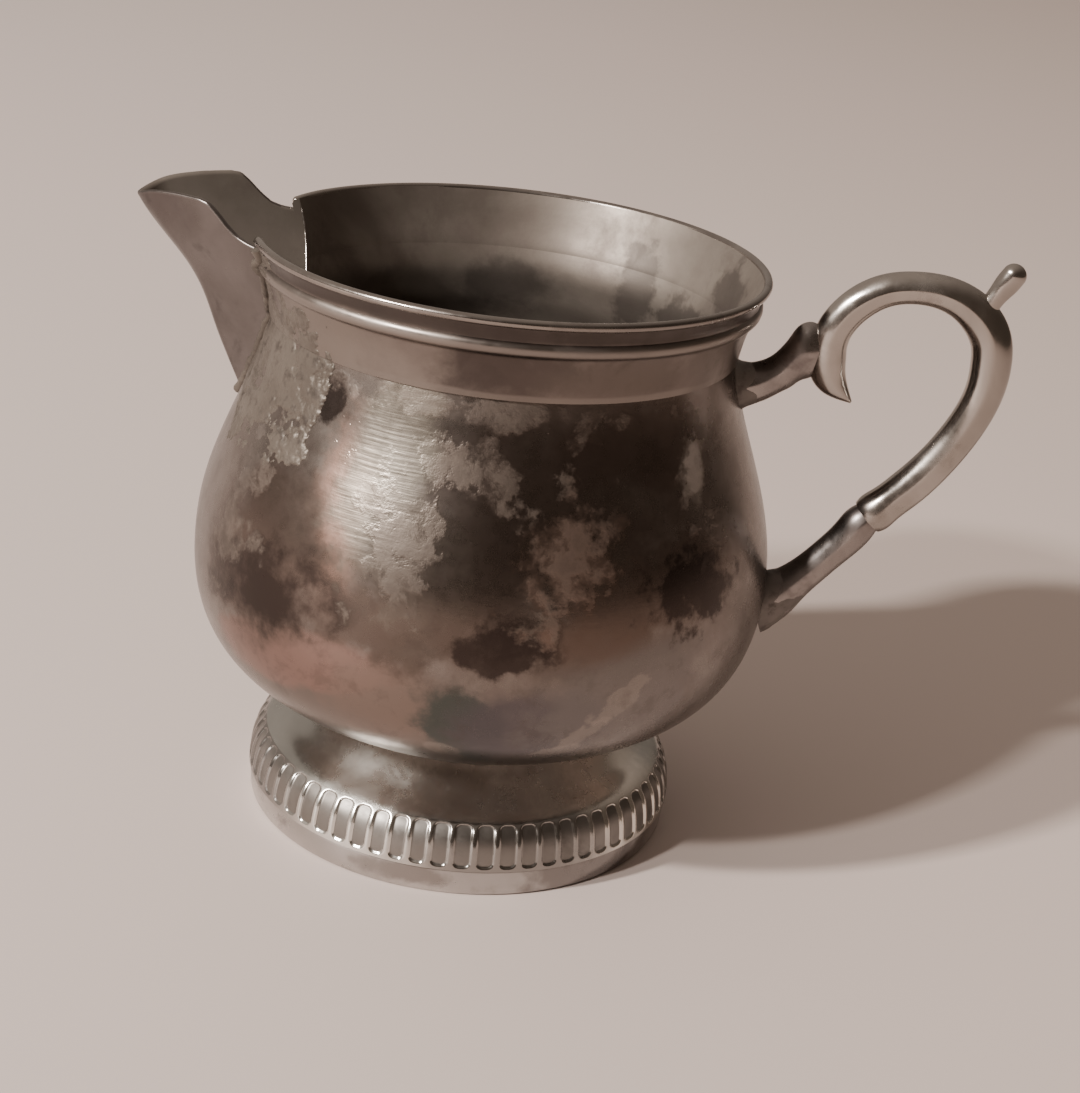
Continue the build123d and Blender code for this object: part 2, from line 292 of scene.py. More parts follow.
# ------------------------------------------------------------------ bowl, collar, lip wire
def dents(depth, scale, seed):
    """Shallow unevenness of old spun sheet; it only goes inward."""
    def shift(az, r, z):
        x, y = r * np.cos(az), r * np.sin(az)
        pts = np.stack([x, y, z], -1)
        wave = rough(pts, scale, 2, seed).reshape(r.shape)
        return -depth * (0.5 + 0.5 * np.clip(wave, -1, 1)) * np.clip(r / 10, 0, 1)
    return shift


outer = spline(BOWL, count=150, start=(1, 0), end=(-0.2, 1))
inner = inset(outer, SHEET)
inner = inner[inner[:, 1] < 62.0]
THROAT = [(30.96, 74.5), (30.5, 73.2), (30.2, 71.9), (30.12, 70.6), (30.4, 68.7), (31.0, 66.4)]
throat = spline(THROAT + [tuple(inner[-1])], count=40, start=(-0.36, -0.93), end=(0.33, -0.94))
bowl_outline = np.vstack([outer, [(FLANGE, CREASE)], throat[:-1], inner[::-1]])
bowl = lathe("bowl_shell", bowl_outline, 256, dents(0.08, 0.055, 3.0))

flare = spline(COLLAR, count=20)
ridge = [(33.45, 77.45), (33.8, 77.62), (34.08, 77.95), RIDGE, (34.16, 78.85), (33.98, 79.2), RIDGE_TOP]
cove = [(33.78, 79.7), (33.95, 80.3), (34.25, 80.9), COLLAR_TOP]
COLLAR_INSIDE = [(33.93, 82.2), (33.74, 81.75), (32.85, 79.4), (31.9, 76.9), (30.95, 74.5), (30.87, 74.15)]
collar_inner = spline(COLLAR_INSIDE, count=34)
collar_outline = np.vstack([flare, ridge, cove, [(34.4, 82.0)], collar_inner, [(FLANGE, CREASE)]])
collar = lathe("neck_band", collar_outline, 256, dents(0.08, 0.055, 3.0))

void = void_mesh()
cut(bowl, void)
cut(collar, void)
bpy.data.objects.remove(void)


def ring_tube(name, radius, height, thick, start, end, turns=300, around=20):
    """Round wire bent round the axis, with rounded ends."""
    a = np.radians(np.linspace(start, end, turns))
    cap = np.radians(np.linspace(90, 0, 7)[:-1])
    shrink = np.r_[np.cos(cap), np.ones(turns), np.cos(cap[::-1])]
    push = np.r_[-np.sin(cap), np.zeros(turns), np.sin(cap[::-1])] * thick / radius
    a = np.r_[np.full(6, a[0]), a, np.full(6, a[-1])] + push
    t = np.linspace(0, 2 * math.pi, around, endpoint=False)
    near_end = np.clip(1 - np.minimum(a - a[0], a[-1] - a) * radius / 7.0, 0, 1)
    rr = radius + thick * shrink[:, None] * np.cos(t)
    drop = 0.15 * near_end[:, None] ** 2
    pts = np.stack([rr * np.cos(a)[:, None], rr * np.sin(a)[:, None],
                    height - drop + thick * shrink[:, None] * np.sin(t)], -1).reshape(-1, 3)
    return make(name, pts, tube_faces(len(a), around))


# the wire's ends are sunk a little into the spout's sides
LIP_SUNK = 0.8
end_u, end_v, _, _ = half_outline(np.array([LIP_HEIGHT]), contact([LIP_HEIGHT]))
lip_gap = math.degrees(math.atan2(end_v[0], end_u[0])) - LIP_SUNK
lip = ring_tube("lip_wire", LIP_RADIUS - LIP_WIRE, LIP_HEIGHT, LIP_WIRE, 180 + lip_gap, 540 - lip_gap)
spout = spout_mesh()

# ------------------------------------------------------------------ foot
DOME = [(30.8, 3.9), (30.6, 6.4), (29.95, 8.6), (28.6, 10.3), (25.6, 12.0), (22.8, 13.9), (20.7, 16.0)]
dome_outer = spline(DOME, count=120, start=(0, 1), end=(-0.3, 1))
dome_length = np.r_[0, np.cumsum(np.linalg.norm(np.diff(dome_outer, axis=0), axis=1))]


def flute_shift(az, r, z):
    """Sunk oval panels with thin raised edges round the foot's shoulder."""
    k = len(dome_outer)
    pitch = 2 * math.pi / FLUTES
    phase = np.mod(az + 0.08 * pitch * np.sin(az * 7), pitch) - pitch / 2
    side = phase * np.repeat(r[:1, :k], len(az), 0)
    along = np.repeat(dome_length[None], len(az), 0)
    half, corner, low, high = 1.30, 1.0, 0.42, 6.75
    across = np.maximum(np.abs(side) - (half - corner), 0)
    past = np.maximum(np.abs(along - (low + high) / 2) - ((high - low) / 2 - corner), 0)
    dist = np.hypot(across, past) - corner
    sunk = np.clip(-dist / 0.36, 0, 1)
    sunk = sunk * sunk * (3 - 2 * sunk)
    move = np.zeros_like(r)
    move[:, :k] = -0.28 * sunk
    return move


dome_inner = inset(dome_outer, 1.1)[3:-6][::-1]
foot_outline = np.vstack([dome_outer, [(16.5, 15.2), (16.5, 13.7), (20.2, 13.7)], dome_inner, [(29.65, 3.9)]])
foot = lathe("foot_pedestal", foot_outline, FLUTES * 20, flute_shift, 60.0)

ring_outline = np.array([(28.8, 0.15), (28.95, 0.0), (29.9, 0.0), (30.15, 0.08), (30.32, 0.28), (30.42, 0.6),
                         (30.5, 2.0), (30.5, 3.3), (30.46, 3.7), (30.36, 3.86), (29.7, 3.88), (29.6, 4.9),
                         (29.0, 5.0), (28.8, 1.0)])
foot_band = lathe("foot_band", ring_outline, 320, dents(0.05, 0.12, 5.0), 35.0)


def lumpy_ring(az, r, z):
    """Unevenness of a solder fillet."""
    pts = np.stack([r * np.cos(az), r * np.sin(az), z], -1)
    return 0.22 * rough(pts, 0.55, 3, 11.0).reshape(r.shape)


t = np.linspace(0, 2 * math.pi, 16, endpoint=False)
waist_outline = np.stack([20.95 + 0.62 * np.cos(t), 15.75 + 0.5 * np.sin(t)], -1)
waist_fillet = lathe("waist_fillet", waist_outline, 420, lumpy_ring)


# ------------------------------------------------------------------ handle
def rod(name, stations, along, around, power=2.0, ridge=0.0, bumps=0.0, seed=0.0, smooth=40.0, dome=0.0):
    """Solid through oval stations (x, z, heading, half thickness, half width) in the X-Z plane.

    power squares the section, ridge raises its sides, and dome rounds off the last end.
    """
    s = np.array(stations, float)
    t = np.r_[0, np.cumsum(np.hypot(np.diff(s[:, 0]), np.diff(s[:, 1])))]
    c = spline(s, at=np.linspace(0, t[-1], along), t=t)
    if dome:
        turn = np.radians(np.linspace(0, 88, 12))[1:]
        end = np.repeat(c[-1:], 11, 0)
        end[:, 0] += dome * np.sin(turn) * math.cos(math.radians(c[-1, 2]))
        end[:, 1] += dome * np.sin(turn) * math.sin(math.radians(c[-1, 2]))
        end[:, 3:5] *= np.cos(turn)[:, None]
        c = np.vstack([c, end])
        along += 11
    a = np.radians(c[:, 2])[:, None]
    w = np.linspace(0, 2 * math.pi, around, endpoint=False)[None]
    shape = (np.abs(np.cos(w)) ** power + np.abs(np.sin(w)) ** power) ** (-1 / power)
    up = shape * np.cos(w) * c[:, 3:4]
    out = shape * np.sin(w) * c[:, 4:5] * (1 + ridge * np.exp(-(np.cos(w) / 0.16) ** 2))
    pts = np.stack([c[:, 0:1] - np.sin(a) * up, out, c[:, 1:2] + np.cos(a) * up], -1).reshape(-1, 3)
    if bumps:
        mid = np.repeat(np.stack([c[:, 0], 0 * c[:, 0], c[:, 1]], -1), around, 0)
        away = pts - mid
        pts = mid + away * (1 + bumps * rough(pts, 0.5, 3, seed))[:, None]
    return make(name, pts, tube_faces(along, around), smooth)


UPPER_ARM = [(31.0, 67.2, 10, 3.45, 2.6), (33.3, 67.7, 8, 3.05, 2.3), (35.4, 68.5, 15, 2.8, 2.05),
             (37.3, 69.8, 18, 2.7, 2.0), (38.9, 71.6, 12, 3.35, 2.05), (39.9, 73.0, 9, 3.85, 2.2),
             (40.7, 73.5, 7, 3.95, 2.25), (41.6, 73.75, 5, 3.8, 2.1), (42.6, 74.0, 4, 3.0, 1.7)]
SCROLL = [(47.75, 67.2, 140, 0.2, 0.35), (46.55, 68.1, 138, 1.0, 1.15), (45.0, 69.55, 131, 2.0, 1.75),
          (43.95, 71.5, 116, 2.55, 2.1), (43.6, 74.1, 92, 2.5, 2.15), (43.95, 76.7, 72, 2.45, 2.15),
          (45.15, 79.1, 55, 2.4, 2.1), (47.2, 81.4, 41, 2.35, 2.1), (50.1, 83.2, 22, 2.25, 2.05),
          (53.6, 84.0, 6, 2.2, 2.05), (57.2, 83.9, -6, 2.3, 2.1), (60.3, 82.9, -24, 2.5, 2.2),
          (62.9, 81.0, -47, 2.7, 2.3), (64.7, 78.3, -66, 2.75, 2.35), (65.33, 75.0, -84, 2.75, 2.35),
          (65.2, 71.4, -96, 2.65, 2.3), (64.2, 67.6, -108, 2.6, 2.3), (62.4, 63.6, -119, 2.6, 2.3),
          (59.8, 59.3, -125, 2.65, 2.35), (56.9, 55.6, -131, 2.7, 2.4), (54.7, 53.2, -133, 2.75, 2.42),
          (53.1, 51.5, -134, 2.8, 2.45), (52.7, 51.1, -134, 2.62, 2.3)]
SPUR = [(63.3, 82.2, 60, 1.4, 1.2), (64.5, 84.6, 60, 1.42, 1.3), (65.3, 86.0, 59, 1.64, 1.45),
        (66.1, 87.4, 58, 1.66, 1.5)]
LOWER_ARM = [(53.4, 51.9, -134, 1.9, 1.7), (52.55, 50.95, -133, 2.35, 2.05), (51.7, 49.8, -129, 2.62, 2.25),
             (50.8, 48.3, -126, 2.6, 2.2), (48.3, 45.0, -129, 2.45, 2.1), (46.0, 42.2, -130, 2.5, 2.15),
             (43.4, 39.3, -137, 3.0, 2.35), (41.2, 37.2, -155, 3.9, 2.6), (39.4, 36.4, -163, 4.2, 2.7)]
UPPER_FILLET = [(31.0, 67.2, 10, 4.6, 3.7), (32.0, 67.35, 10, 3.85, 3.0), (33.2, 67.65, 10, 3.22, 2.5),
                (34.8, 68.2, 13, 2.80, 2.05), (36.2, 69.1, 17, 2.4, 1.7)]
LOWER_FILLET = [(39.3, 36.4, -163, 4.8, 3.4), (40.9, 37.1, -156, 4.1, 2.9), (42.5, 38.5, -144, 3.3, 2.48),
                (44.0, 39.9, -138, 2.72, 2.12), (45.2, 41.3, -134, 2.3, 1.9)]
upper_arm = rod("upper_arm", UPPER_ARM, 90, 44, 1.75, 0.05)
grip = rod("scroll_grip", SCROLL, 360, 44, 1.9, 0.04)
spur = rod("thumb_spur", SPUR, 60, 36, 2.0, dome=1.55)
lower_arm = rod("lower_arm", LOWER_ARM, 110, 44, 1.7, 0.06)
upper_fillet = rod("upper_fillet", UPPER_FILLET, 40, 60, 1.9, bumps=0.03, seed=21.0)
lower_fillet = rod("lower_fillet", LOWER_FILLET, 40, 60, 1.9, bumps=0.03, seed=31.0)


# ------------------------------------------------------------------ solder round the spout, and its crust
def seam_bead():
    """The run of solder down one side of the spout, under its keel and up the other side."""
    heights = np.linspace(80.9, SPOUT_KEEL, 64)
    u, v, _, _ = half_outline(heights, contact(heights))
    side = np.stack([-u, v, heights], -1)
    keel = [(-36.2, 0, 57.35)]
    path = np.vstack([side * (1, -1, 1), keel, side[::-1]])
    path = spline(path, count=260)
    tangent = np.gradient(path, axis=0)
    tangent /= np.linalg.norm(tangent, axis=1)[:, None]
    outward = path * (1, 1, 0)
    outward /= np.linalg.norm(outward, axis=1)[:, None]
    across = np.cross(tangent, outward)
    across /= np.linalg.norm(across, axis=1)[:, None]
    outward = np.cross(across, tangent)
    around = 20
    w = np.linspace(0, 2 * math.pi, around, endpoint=False)
    size = 0.72 + 0.22 * rough(path, 0.45, 3, 4.0)
    size[:40] += 0.25 * np.exp(-np.linspace(0, 3, 40))
    pts = path[:, None] + size[:, None, None] * (np.cos(w)[None, :, None] * outward[:, None]
                                                 + np.sin(w)[None, :, None] * across[:, None])
    pts = pts.reshape(-1, 3)
    pts += (0.13 * rough(pts, 1.1, 3, 9.0))[:, None] * np.repeat(outward, around, 0)
    return make("seam_solder", pts, tube_faces(len(path), around))


def inner_seam(side):
    """Thin line of solder where the spout's inside meets the inside of the neck."""
    count, around = 60, 12
    z = np.linspace(81.2, 72.0, count)
    neck = np.interp(z, [72.0, 73.2, 74.5, 76.9, 79.4, 81.75], [30.2, 30.5, 30.96, 31.9, 32.85, 33.74])

    def inside(d):
        u, v, _, _ = half_outline(z, d, SPOUT_SHEET)
        return neck - np.hypot(u, v)
    meet = bisect(inside, np.zeros_like(z), np.full_like(z, DEEPEST))
    u, v, _, _ = half_outline(z, meet, SPOUT_SHEET)
    path = np.stack([-u, side * v, z], -1)
    w = np.linspace(0, 2 * math.pi, around, endpoint=False)
    size = 0.17 + 0.05 * rough(path, 0.6, 3, 14.0 + side)
    from_end = np.minimum(np.arange(count), np.arange(count)[::-1])
    size *= np.clip(from_end / 5.0, 0.15, 1)
    pts = path[:, None] + size[:, None, None] * np.stack([np.cos(w), np.sin(w), 0 * w], -1)[None]
    name = "inner_seam_left" if side < 0 else "inner_seam_right"
    return make(name, pts.reshape(-1, 3), tube_faces(count, around))


def crust_patch():
    """Solder that ran over the near side of the seam: a pitted sheet that thins out to nothing."""
    az = np.radians(np.linspace(-177, -116, 250))
    z = np.linspace(53.5, 81.0, 210)
    a, h = np.meshgrid(az, z, indexing="ij")
    r = body_radius(h)
    pts = np.stack([r * np.cos(a), r * np.sin(a), h], -1)
    flat = pts.reshape(-1, 3)
    along = np.degrees(a) + 180.0
    lower = 1 - ((along - 28 - (70 - h) * 0.4) / (27 + (70 - h) * 0.3)) ** 2 - ((h - 67.5) / 9.5) ** 2
    seam_side = 1 - ((along - 16) / 12) ** 2 - ((h - 72) / 10.0) ** 2
    tail = 1 - ((along - 24) / 6.5) ** 2 - ((h - 60) / 6.0) ** 2
    blob = np.maximum(np.maximum(lower, seam_side), tail)
    blob = blob - 3 * np.clip((along - 52) / 8, 0, 1) - 3 * np.clip((5 - along) / 3, 0, 1)
    edge = rough(flat, 0.20, 6, 2.0).reshape(a.shape)
    pits = rough(flat, 0.55, 4, 6.0).reshape(a.shape)
    fine = rough(flat, 1.6, 3, 7.0).reshape(a.shape)
    cover = np.clip((0.62 * blob + 0.95 * edge + 0.20 * fine + 0.02) / 0.20, -1, 1)
    seam_u, seam_v, _, _ = half_outline(z, contact(z))
    seam_at = np.where(z > SPOUT_KEEL, np.degrees(np.arctan2(seam_v, seam_u)), 0)
    cover = np.where(along < seam_at - 0.3, -1, cover)
    height = 0.11 * cover + 0.05 * np.clip(edge, -1, 1) - 0.34 * np.clip(pits - 0.16, 0, 1) + 0.028 * fine
    lowest, shown_from, highest = -0.35, -0.22, 0.32
    height = np.where(cover > -1, np.clip(height, lowest, highest), lowest)
    grow = np.stack([np.cos(a), np.sin(a), np.zeros_like(a)], -1)
    top = pts + grow * height[..., None]
    n, m = a.shape
    keep = height > shown_from
    faces = []
    for i in range(n - 1):
        for j in range(m - 1):
            if keep[i, j] or keep[i + 1, j] or keep[i, j + 1] or keep[i + 1, j + 1]:
                faces.append((i * m + j, i * m + j + 1, (i + 1) * m + j + 1, (i + 1) * m + j))
    obj = make("solder_crust", top.reshape(-1, 3), faces, 180.0)
    bm = bmesh.new()
    bm.from_mesh(obj.data)
    bmesh.ops.delete(bm, geom=[v for v in bm.verts if not v.link_faces], context="VERTS")
    bm.to_mesh(obj.data)
    bm.free()
    return obj


seam = seam_bead()
crust = crust_patch()
seam_lines = [inner_seam(-1), inner_seam(1)]

place(bowl, "bowl")
place(collar, "neck_collar")
place(lip, "rim_wire")
place(spout, "spout")
place(seam, "spout_solder")
place(foot, "foot_dome")
place(foot_band, "foot_ring")
place(waist_fillet, "foot_solder")
place(upper_arm, "handle_upper_bracket")
place(grip, "handle_grip")
place(spur, "handle_grip")
place(lower_arm, "handle_lower_bracket")
place(upper_fillet, "handle_upper_solder")
place(lower_fillet, "handle_lower_solder")
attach(crust, "root")
for line in seam_lines:
    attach(line, "root")


# ------------------------------------------------------------------ materials
STAIN_RADIUS = 38.0  # millimetres round the body are measured at this radius


class Shader:
    """Short hand for building a node material."""

    def __init__(self, name):
        self.mat = bpy.data.materials.new(name)
        self.mat.use_nodes = True
        self.tree = self.mat.node_tree
        self.bsdf = next(n for n in self.tree.nodes if n.type == "BSDF_PRINCIPLED")
        self.coord = self.add("ShaderNodeTexCoord").outputs["Object"]
        self._place = None
        self._warp = None

    def add(self, kind, **props):
        node = self.tree.nodes.new(kind)
        for k, v in props.items():
            setattr(node, k, v)
        return node

    def put(self, socket, value):
        if isinstance(value, bpy.types.NodeSocket):
            self.tree.links.new(value, socket)
        elif isinstance(value, (tuple, list)) and len(value) == 3 and socket.type == "RGBA":
            socket.default_value = (*value, 1)
        else:
            socket.default_value = value

    def math(self, op, a, b=0.0):
        node = self.add("ShaderNodeMath", operation=op)
        self.put(node.inputs[0], a)
        self.put(node.inputs[1], b)
        return node.outputs[0]

    def step(self, value, low, high, out_low=0.0, out_high=1.0):
        node = self.add("ShaderNodeMapRange", interpolation_type="SMOOTHSTEP")
        names = ("Value", "From Min", "From Max", "To Min", "To Max")
        for k, v in zip(names, (value, low, high, out_low, out_high)):
            self.put(node.inputs[k], v)
        return node.outputs[0]

    def noise(self, scale, detail=4.0, roughness=0.55, vector=None, distortion=0.0, w=None):
        node = self.add("ShaderNodeTexNoise")
        if w is not None:
            node.noise_dimensions = "4D"
            node.inputs["W"].default_value = w
        self.put(node.inputs["Vector"], vector or self.coord)
        node.inputs["Scale"].default_value = scale
        node.inputs["Detail"].default_value = detail
        node.inputs["Roughness"].default_value = roughness
        node.inputs["Distortion"].default_value = distortion
        return node.outputs[0]

    def mapping(self, scale, vector=None):
        node = self.add("ShaderNodeMapping")
        self.put(node.inputs["Vector"], vector or self.coord)
        node.inputs["Scale"].default_value = scale
        return node.outputs[0]

    def mix(self, fac, a, b):
        node = self.add("ShaderNodeMix", data_type="RGBA")
        self.put(node.inputs[0], fac)
        self.put(node.inputs[6], a)
        self.put(node.inputs[7], b)
        return node.outputs[2]

    def blend(self, fac, a, b):
        node = self.add("ShaderNodeMix", data_type="FLOAT")
        self.put(node.inputs[0], fac)
        self.put(node.inputs[2], a)
        self.put(node.inputs[3], b)
        return node.outputs[0]

    def around(self):
        """Position on the body as millimetres round it, measured at STAIN_RADIUS, and millimetres up."""
        if self._place is None:
            part = self.add("ShaderNodeSeparateXYZ")
            self.put(part.inputs[0], self.coord)
            angle = self.math("ARCTAN2", part.outputs[1], part.outputs[0])
            turn = self.math("MULTIPLY", angle, STAIN_RADIUS)
            up = self.math("MULTIPLY", part.outputs[2], 1000.0)
            join = self.add("ShaderNodeCombineXYZ")
            self.put(join.inputs[0], turn)
            self.put(join.inputs[1], up)
            self._place = join.outputs[0]
            self._warp = (self.noise(190, 5, 0.62), self.noise(70, 4, 0.6, w=3.0))
        return self._place

    def stain_and_light_mask(self, azimuth, height, wide, tall, tilt=0.0, soft=0.35, ragged=0.9, broad=0.5):
        """Mask of one oval patch on the body with a ragged edge; it serves stains, painted highlights and
        painted shade alike.
        """
        place_on = self.around()
        moved = self.add("ShaderNodeVectorMath", operation="SUBTRACT")
        self.put(moved.inputs[0], place_on)
        moved.inputs[1].default_value = (math.radians(azimuth) * STAIN_RADIUS, height, 0)
        turned = self.add("ShaderNodeMapping", vector_type="TEXTURE")
        self.put(turned.inputs["Vector"], moved.outputs[0])
        turned.inputs["Rotation"].default_value = (0, 0, math.radians(tilt))
        turned.inputs["Scale"].default_value = (wide, tall, 1)
        length = self.add("ShaderNodeVectorMath", operation="LENGTH")
        self.put(length.inputs[0], turned.outputs[0])
        d = length.outputs["Value"]
        for warp, amount in zip(self._warp, (ragged, broad)):
            d = self.math("ADD", d, self.math("MULTIPLY", self.math("SUBTRACT", warp, 0.5), 2 * amount))
        return self.step(d, 1 - soft, 1 + soft, 1.0, 0.0)

    def stain_and_light_patch(self, colour, place_and_shape, tint, amount):
        """Colour with one oval patch laid over it; the patches are stains, painted highlights and painted
        shade.
        """
        return self.mix(self.math("MULTIPLY", self.stain_and_light_mask(*place_and_shape), amount), colour, tint)

    def uneven(self, value, by, amount):
        """Value moved up and down by a noise."""
        return self.math("ADD", value, self.math("MULTIPLY", self.math("SUBTRACT", by, 0.5), amount))

    def bump(self, *layers):
        """Bumps from (height, distance, strength) layers, one on another."""
        normal = None
        for height, distance, strength in layers:
            node = self.add("ShaderNodeBump")
            node.inputs["Strength"].default_value = strength
            node.inputs["Distance"].default_value = distance
            self.put(node.inputs["Height"], height)
            if normal is not None:
                self.put(node.inputs["Normal"], normal)
            normal = node.outputs[0]
        self.put(self.bsdf.inputs["Normal"], normal)

    def done(self, colour, metal, rough_value):
        self.put(self.bsdf.inputs["Base Color"], colour)
        self.put(self.bsdf.inputs["Metallic"], metal)
        self.put(self.bsdf.inputs["Roughness"], rough_value)
        return self.mat


def bowl_material():
    s = Shader("tarnished_bowl_painted_highlights")
    s.around()
    broad = s.noise(28, 5, 0.6, distortion=0.8, w=1.0)
    cloud = s.noise(75, 6, 0.62, distortion=0.6, w=2.0)
    mottle = s.noise(230, 6, 0.70, distortion=0.4, w=12.0)
    fine = s.noise(420, 5, 0.65, w=5.0)
    # bare plate to brown tarnish
    colour = s.mix(s.step(broad, 0.34, 0.66), (0.175, 0.148, 0.135), (0.29, 0.26, 0.24))
    colour = s.mix(s.step(cloud, 0.40, 0.62, 0.0, 0.6), colour, (0.155, 0.125, 0.11))
    rough_value = s.blend(s.step(broad, 0.3, 0.7), 0.31, 0.25)
    # tints on the plate: copper pink low on the left, teal and violet low in front
    for args, tint, amount in (
            ((-112, 29.0, 26, 7.5, 6, 0.4, 0.5, 0.4), (0.20, 0.168, 0.15), 0.70),
            ((-122, 33.8, 15, 4.6, 10, 0.15, 0.35, 0.3), (0.285, 0.188, 0.163), 0.85),
            ((-100, 31.5, 8, 6.5, 0, 0.45, 0.9, 0.4), (0.235, 0.18, 0.155), 0.70),
            # bright copper patch on the upper left where the lamps' highlight falls: copper tint, brightened
            # partly as a painted highlight
            ((-115, 54.0, 4.0, 10.5, 4, 0.5, 0.8, 0.4), (0.52, 0.33, 0.265), 0.85),
            ((-85, 29.5, 5.0, 7.0, 25, 0.28, 0.9, 0.3), (0.066, 0.080, 0.075), 0.88),
            ((-97, 42.5, 8, 5.0, 0, 0.4, 1.2, 0.4), (0.115, 0.092, 0.079), 0.80),
            ((-63, 41.5, 12, 5.5, 0, 0.4, 0.9, 0.4), (0.115, 0.092, 0.08), 0.80),
            ((-72, 29.5, 10, 6.5, 0, 0.3, 0.5, 0.3), (0.108, 0.096, 0.102), 0.90),
            ((-55, 34.0, 12, 8.5, 20, 0.4, 0.8, 0.4), (0.175, 0.158, 0.15), 0.75),
            ((-58, 45.0, 9, 5.0, 20, 0.4, 0.7, 0.4), (0.125, 0.085, 0.067), 0.7)):
        colour = s.stain_and_light_patch(colour, args, tint, amount)
    colour = s.stain_and_light_patch(colour, (-131, 45.5, 12, 10.0, 5, 0.4, 0.7, 0.4), (0.108, 0.088, 0.078), 0.85)
    # dark burnt areas
    for args, amount in (
            ((-128, 47.0, 9, 11.0, 8, 0.35, 0.6, 0.4), 0.85),
            ((-136, 41.0, 8, 5.0, 0, 0.25, 0.5, 0.3), 0.80),
            ((-109, 42.5, 8, 4.0, 0, 0.35, 0.7, 0.4), 0.75),
            ((-68, 60.0, 19, 10.0, 0, 0.5, 0.7, 0.5), 0.75),
            ((-84, 47.0, 8, 9.5, 10, 0.5, 0.9, 0.5), 0.60),
            ((-42, 48.5, 9, 6.0, 0, 0.3, 0.9, 0.4), 0.85),
            ((-47, 66.0, 15, 5.5, 0, 0.4, 0.8, 0.4), 0.75),
            ((-58, 50.0, 9, 8.0, 0, 0.5, 1.0, 0.5), 0.55),
            ((65, 45.0, 17, 12.0, 0, 0.5, 0.9, 0.6), 0.65),
            ((125, 52.0, 15, 10.0, 0, 0.5, 0.9, 0.6), 0.60),
            ((95, 27.0, 15, 5.0, 0, 0.5, 0.9, 0.6), 0.50),
            ((5, 52.0, 12, 9.0, 0, 0.5, 0.9, 0.6), 0.50)):
        colour = s.stain_and_light_patch(colour, args, (0.130, 0.100, 0.086), amount)
    for args in ((-79, 40.6, 5.6, 3.2, 8, 0.22, 1.4, 0.4), (-75, 43.6, 4.5, 3.2, 20, 0.4, 1.6, 0.5),
                 (-41, 47.0, 7, 4.5, 0, 0.3, 2.2, 0.6), (-129, 42.0, 10, 4.6, 10, 0.5, 1.6, 0.5),
                 (-124, 67.0, 1.8, 2.0, 30, 0.3, 2.6, 0.5), (110, 40.0, 8, 5.0, 0, 0.4, 2.0, 0.5)):
        colour = s.stain_and_light_patch(colour, args, (0.042, 0.032, 0.029), 0.88)
    # pearly patch with fine rings where the lamps' highlight falls: its lighter colour is partly cleaner
    # plate, partly a painted highlight
    pale_patch_and_highlight = s.stain_and_light_mask(-107, 61.5, 6.2, 12.0, -10, 0.3, 0.6, 0.35)
    colour = s.mix(s.math("MULTIPLY", pale_patch_and_highlight, 0.85), colour, (0.33, 0.296, 0.252))
    colour = s.stain_and_light_patch(colour, (-98, 51.0, 6.5, 6.5, 0, 0.4, 1.4, 0.5), (0.17, 0.145, 0.125), 0.6)
    # dull grey-tan deposits, ragged and broken up
    deposits = None
    for args in ((-100, 53.0, 4.4, 5.4, -30, 0.30, 3.6, 0.6), (-90, 63.0, 8.0, 3.0, -10, 0.30, 3.6, 0.7),
                 (-66, 52.0, 3.6, 7.0, -35, 0.45, 3.2, 0.6), (-73, 46.5, 3.0, 3.4, 0, 0.4, 3.0, 0.5),
                 (-141, 49.0, 3.6, 6.0, 0, 0.35, 3.8, 0.5),
                 (-34, 58.5, 2.6, 5.5, 10, 0.3, 3.8, 0.5), (-84, 69.5, 17, 1.8, 0, 0.4, 3.2, 0.7),
                 (80, 60.0, 9, 6.0, 10, 0.4, 3.6, 0.8), (30, 38.0, 8, 5.0, 0, 0.4, 3.6, 0.8),
                 (150, 34.0, 9, 4.0, 0, 0.4, 3.6, 0.8), (108, 66.0, 10, 4.0, 0, 0.4, 3.6, 0.8)):
        mask = s.stain_and_light_mask(*args)
        deposits = mask if deposits is None else s.math("MAXIMUM", deposits, mask)
    specks = s.step(s.noise(560, 3, 0.7, w=8.0), 0.66, 0.70)
    near_specks = s.step(s.noise(60, 3, 0.6, w=9.0), 0.48, 0.60)
    deposits = s.math("MAXIMUM", deposits, s.math("MULTIPLY", specks, near_specks))
    deposits = s.math("MULTIPLY", deposits, s.step(mottle, 0.40, 0.56, 0.25, 1.0))
    tan = s.mix(s.step(fine, 0.38, 0.62), (0.195, 0.162, 0.138), (0.118, 0.096, 0.081))
    colour = s.mix(s.math("MULTIPLY", deposits, 0.70), colour, tan)
    colour = s.stain_and_light_patch(colour, (-99, 52.0, 6.0, 6.0, 0, 0.4, 1.0, 0.4), (0.12, 0.10, 0.087), 0.5)
    colour = s.stain_and_light_patch(colour, (-66, 51.5, 4.6, 7.5, -35, 0.4, 2.2, 0.5), (0.235, 0.165, 0.135), 0.6)
